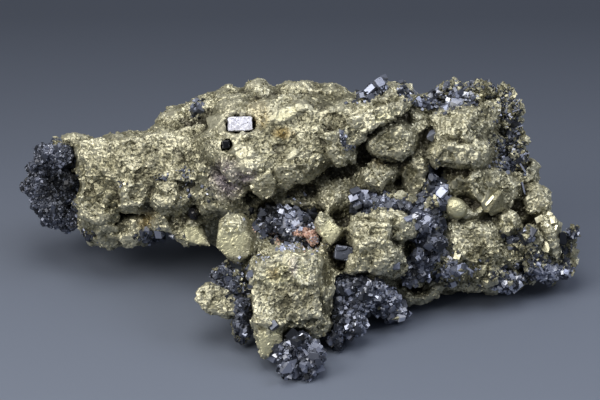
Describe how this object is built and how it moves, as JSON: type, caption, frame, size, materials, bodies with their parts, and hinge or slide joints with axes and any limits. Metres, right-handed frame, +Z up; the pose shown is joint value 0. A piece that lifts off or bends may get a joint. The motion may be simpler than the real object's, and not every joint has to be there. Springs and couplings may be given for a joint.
{
  "type": "chalcopyrite mineral specimen",
  "caption": "Craggy hand-sized cluster of brassy chalcopyrite with patches of dark grey crystals, resting on its foot",
  "frame": {"origin": "middle of the specimen's outline as seen from above, at floor level", "axes": "+X along the long side, to the right as seen from the front; +Y away from the viewer; +Z up"},
  "size_m": [0.1672, 0.0934, 0.0639],
  "materials": {
    "chalcopyrite": "olive-brassy chalcopyrite, crumpled and granular, dull metallic sheen",
    "grey_sulphide": "dark blue-grey crystals, small flat faces with a bright metallic glint",
    "galena": "bright silvery crystal, smooth cleavage faces",
    "sphalerite": "glossy black crystal",
    "pink_carbonate": "thin crust of dusky pink grains"
  },
  "bodies": {
    "root": {"chalcopyrite_mass": "chalcopyrite", "grey_crystals_base": "grey_sulphide", "grey_crystals_crest": "grey_sulphide", "grey_crystals_foot_front": "grey_sulphide", "grey_crystals_foot_left": "grey_sulphide", "grey_crystals_foot_right": "grey_sulphide", "grey_crystals_left_end": "grey_sulphide", "grey_crystals_peak_side": "grey_sulphide", "grey_crystals_ridge": "grey_sulphide", "grey_crystals_right_end": "grey_sulphide", "grey_crystals_valley_left": "grey_sulphide", "grey_crystals_valley_right": "grey_sulphide", "grey_block_crystal": "grey_sulphide", "galena_crystal": "galena", "black_crystal_dome": "sphalerite", "black_crystal_arm": "sphalerite", "pink_carbonate_crust": "pink_carbonate"}
  },
  "joints": []
}
